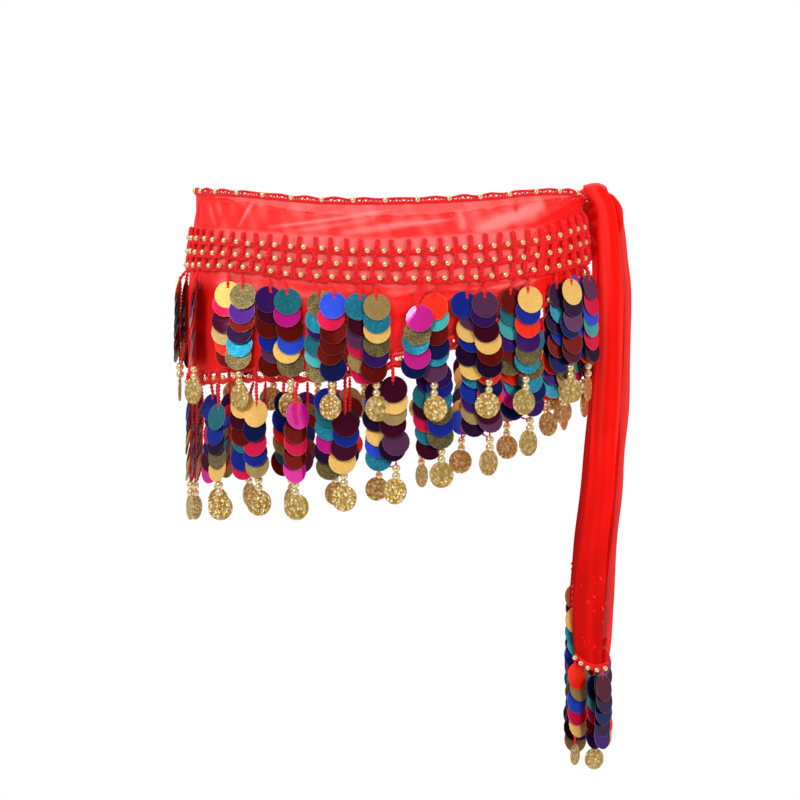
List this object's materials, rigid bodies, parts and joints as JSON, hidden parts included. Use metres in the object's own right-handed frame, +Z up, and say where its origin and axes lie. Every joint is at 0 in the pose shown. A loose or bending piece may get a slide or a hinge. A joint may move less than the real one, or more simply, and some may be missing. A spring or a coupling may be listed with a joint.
{
  "type": "belly dance hip scarf",
  "caption": "Chiffon hip scarf tied at the left hip, with a crocheted lattice band, two tiers of paillette fringe ending in coins, and long folded tie ends.",
  "frame": {"origin": "middle of the wearer's hips, at the height of the scarf's top edge at the front", "axes": "+Z up, the wearer faces -Y, and +X is the wearer's left hip, where the scarf is tied"},
  "size_m": [0.3831, 0.2502, 0.4976],
  "materials": {
    "chiffon": "sheer plain weave chiffon with a soft sheen",
    "crochet": "knobby crocheted yarn",
    "paillettes": "foil discs of many colours on crocheted thread"
  },
  "bodies": {
    "root": {"hip_wrap": "chiffon", "top_braid": "crochet", "lattice_front": "crochet", "lattice_back": "crochet", "upper_fringe": "paillettes", "lower_fringe": "paillettes", "knot": "chiffon", "front_tail": "chiffon", "rear_tail": "chiffon", "front_tail_fringe": "paillettes", "rear_tail_fringe": "paillettes"}
  },
  "joints": []
}
